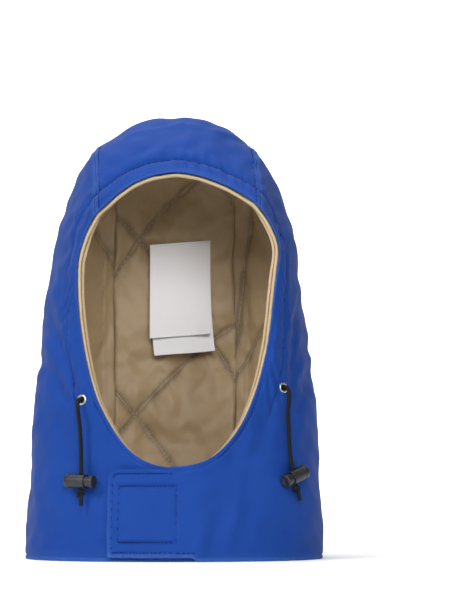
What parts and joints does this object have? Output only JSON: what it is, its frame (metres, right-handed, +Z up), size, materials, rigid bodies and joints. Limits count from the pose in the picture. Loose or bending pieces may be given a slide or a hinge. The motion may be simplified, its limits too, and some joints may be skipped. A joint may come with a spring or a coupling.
{
  "type": "insulated three-panel hood with drawcord",
  "caption": "Insulated cloth hood standing open on its hem: quilted lining, face opening with drawcord and cord locks, lapped chin closure.",
  "frame": {"origin": "middle of the hem's footprint, on the surface the hood stands on", "axes": "+Z up from hem to crown, +Y towards the back of the head, +X to the viewer's right facing the opening"},
  "size_m": [0.2618, 0.2289, 0.3964],
  "materials": {
    "shell_twill": "satin",
    "quilted_lining": "satin",
    "binding_tape": "satin",
    "touch_fastener": "matte",
    "elastic_cord": "matte",
    "nickel": "polished",
    "lock_plastic": "satin",
    "label_tape": "satin"
  },
  "bodies": {
    "hood": {"centre_panel": "shell_twill", "side_panel_left": "shell_twill", "side_panel_right": "shell_twill", "lining_centre": "quilted_lining", "lining_left": "quilted_lining", "lining_right": "quilted_lining", "face_binding": "binding_tape", "closure_patch": "touch_fastener", "drawcord": "elastic_cord", "label_back": "label_tape", "label_front": "label_tape", "eyelet_left": "nickel", "cord_end_left": "elastic_cord", "cord_lock_barrel_left": "lock_plastic", "cord_knot_left": "elastic_cord", "eyelet_right": "nickel", "cord_end_right": "elastic_cord", "cord_lock_barrel_right": "lock_plastic", "cord_knot_right": "elastic_cord"},
    "plunger_left": {"cord_lock_plunger_left": "lock_plastic"},
    "plunger_right": {"cord_lock_plunger_right": "lock_plastic"}
  },
  "joints": [
    {"name": "plunger_left_press", "type": "slide", "parent": "hood", "child": "plunger_left", "axis": [-0.8713, 0.4895, 0.0349], "range_m": [0, 0.004], "stiffness_N_per_m": 300, "springref_m": -0.01},
    {"name": "plunger_right_press", "type": "slide", "parent": "hood", "child": "plunger_right", "axis": [0.6984, 0.6287, 0.342], "range_m": [0, 0.004], "stiffness_N_per_m": 300, "springref_m": -0.01}
  ]
}
